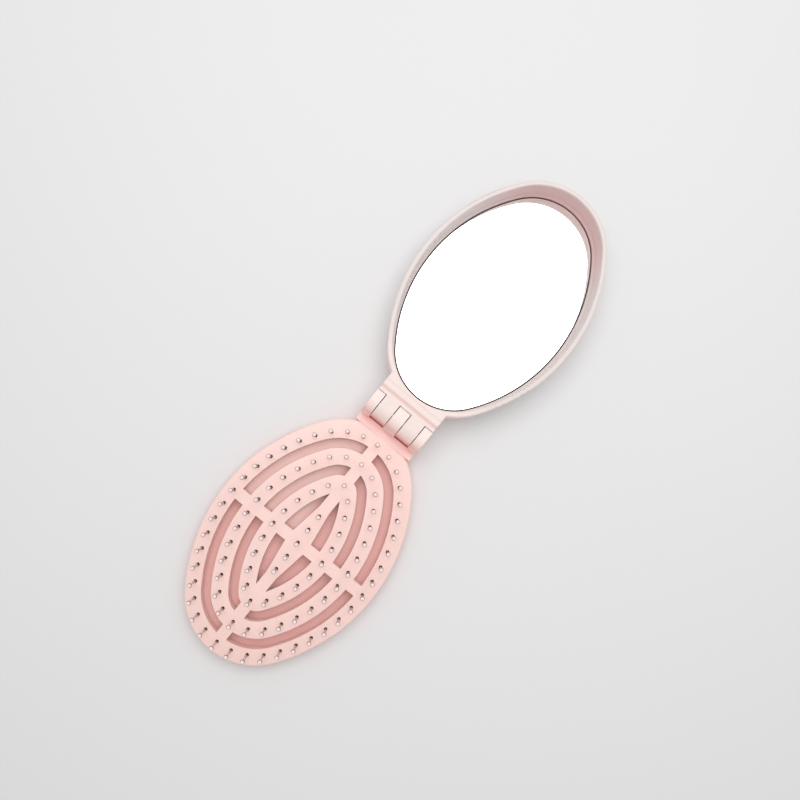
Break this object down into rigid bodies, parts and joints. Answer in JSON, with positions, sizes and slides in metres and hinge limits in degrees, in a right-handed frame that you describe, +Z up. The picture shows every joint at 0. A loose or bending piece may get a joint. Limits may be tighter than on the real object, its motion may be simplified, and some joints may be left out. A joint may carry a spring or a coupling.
{
  "type": "folding hairbrush",
  "caption": "Pocket hairbrush that opens flat on a five-finger hinge: an oval perforated plate with ball-tipped pins, and an oval mirror sunk in a deep rimmed shell.",
  "frame": {"origin": "on the table under the middle of the hinge axis, which is the bottom centre of the open brush", "axes": "+X across the brush along the hinge axis, +Y towards the far end of the mirror half, +Z up out of the mirror"},
  "size_m": [0.0562, 0.176, 0.014],
  "materials": {
    "pink_plastic": "satin moulded plastic, pale pink",
    "pale_pink_plastic": "satin moulded plastic, pale pink",
    "mirror": "silvered glass",
    "adhesive_tape": "double-sided adhesive tape",
    "steel": "plain drawn steel",
    "nylon": "translucent white nylon"
  },
  "bodies": {
    "brush": {"bristle_plate": "pale_pink_plastic", "brush_back": "pink_plastic", "hinge_pin": "steel", "outer_pin_ring": "nylon", "middle_pin_ring": "nylon", "inner_pin_ring": "nylon", "centre_pin_strip": "nylon"},
    "mirror": {"mirror_shell": "pink_plastic", "mirror_tape": "adhesive_tape", "mirror_glass": "mirror"}
  },
  "joints": [
    {"name": "mirror_fold", "type": "hinge", "parent": "brush", "child": "mirror", "pos_m": [0, 0, 0.01], "axis": [1, 0, 0], "range_deg": [0, 180]}
  ]
}
